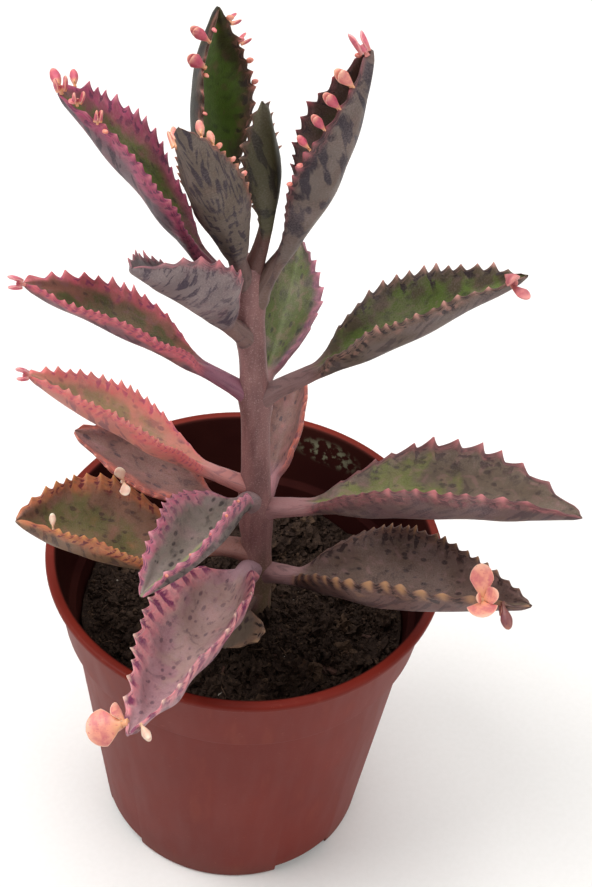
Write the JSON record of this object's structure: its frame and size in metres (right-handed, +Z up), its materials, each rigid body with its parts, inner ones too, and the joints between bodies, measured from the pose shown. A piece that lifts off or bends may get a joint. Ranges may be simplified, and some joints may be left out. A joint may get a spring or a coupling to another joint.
{
  "type": "potted kalanchoe",
  "caption": "Potted kalanchoe: a thick upright stem with folded, toothed succulent leaves that bear plantlets along their margins, in a round plastic nursery pot of soil.",
  "frame": {"origin": "centre of the pot's base, on the surface that the pot stands on", "axes": "+Z up along the pot's axis, -Y towards the front, +X to the right as seen from the front"},
  "size_m": [0.1334, 0.1369, 0.2578],
  "materials": {
    "pot_plastic": "moulded polypropylene, satin outside, dull and dusty inside",
    "potting_soil": "loose peat and bark compost with perlite, matt",
    "stem_skin": "fleshy pinkish-brown skin with a powdery bloom",
    "leaf_green": "fleshy green leaf with pink-brown margins, waxy satin",
    "leaf_grey": "fleshy grey-mauve leaf with purple-brown blotches, waxy satin",
    "leaf_pink": "fleshy sun-reddened leaf with pink margins, waxy satin",
    "plantlet": "fleshy pink and peach leaflets, satin"
  },
  "bodies": {
    "root": {"pot": "pot_plastic", "soil": "potting_soil", "stem": "stem_skin", "leaf_top_left": "leaf_pink", "leaf_top_back": "leaf_green", "leaf_top_front": "leaf_grey", "leaf_heart": "leaf_green", "leaf_top_right": "leaf_grey", "leaf_upper_front": "leaf_grey", "leaf_middle_left": "leaf_pink", "leaf_middle_back": "leaf_green", "leaf_middle_right": "leaf_green", "leaf_lower_left": "leaf_pink", "leaf_lower_front": "leaf_pink", "leaf_lower_right": "leaf_grey", "leaf_lower_side": "leaf_pink", "leaf_lower_back": "leaf_grey", "leaf_bottom_left": "leaf_green", "leaf_bottom_front": "leaf_pink", "leaf_bottom_right": "leaf_grey", "leaf_basal": "leaf_grey", "plantlet_top_left_tip": "plantlet", "plantlet_top_left_claw": "plantlet", "plantlet_top_left_bean": "plantlet", "plantlet_top_left_rim": "plantlet", "plantlet_top_left_side": "plantlet", "plantlet_top_back_high": "plantlet", "plantlet_top_back_low": "plantlet", "plantlet_top_back_side": "plantlet", "plantlet_top_back_edge": "plantlet", "plantlet_top_front_side": "plantlet", "plantlet_top_front_rim": "plantlet", "plantlet_top_front_right": "plantlet", "plantlet_top_right_tip": "plantlet", "plantlet_top_right_high": "plantlet", "plantlet_top_right_middle": "plantlet", "plantlet_top_right_low": "plantlet", "plantlet_top_right_last": "plantlet", "plantlet_middle_left_tip": "plantlet", "plantlet_middle_right_tip": "plantlet", "plantlet_lower_left_tip": "plantlet", "plantlet_lower_side": "plantlet", "plantlet_bottom_left": "plantlet", "plantlet_bottom_front_tip": "plantlet", "plantlet_bottom_front_side": "plantlet", "plantlet_bottom_right": "plantlet", "plantlet_bottom_right_tip": "plantlet"}
  },
  "joints": []
}
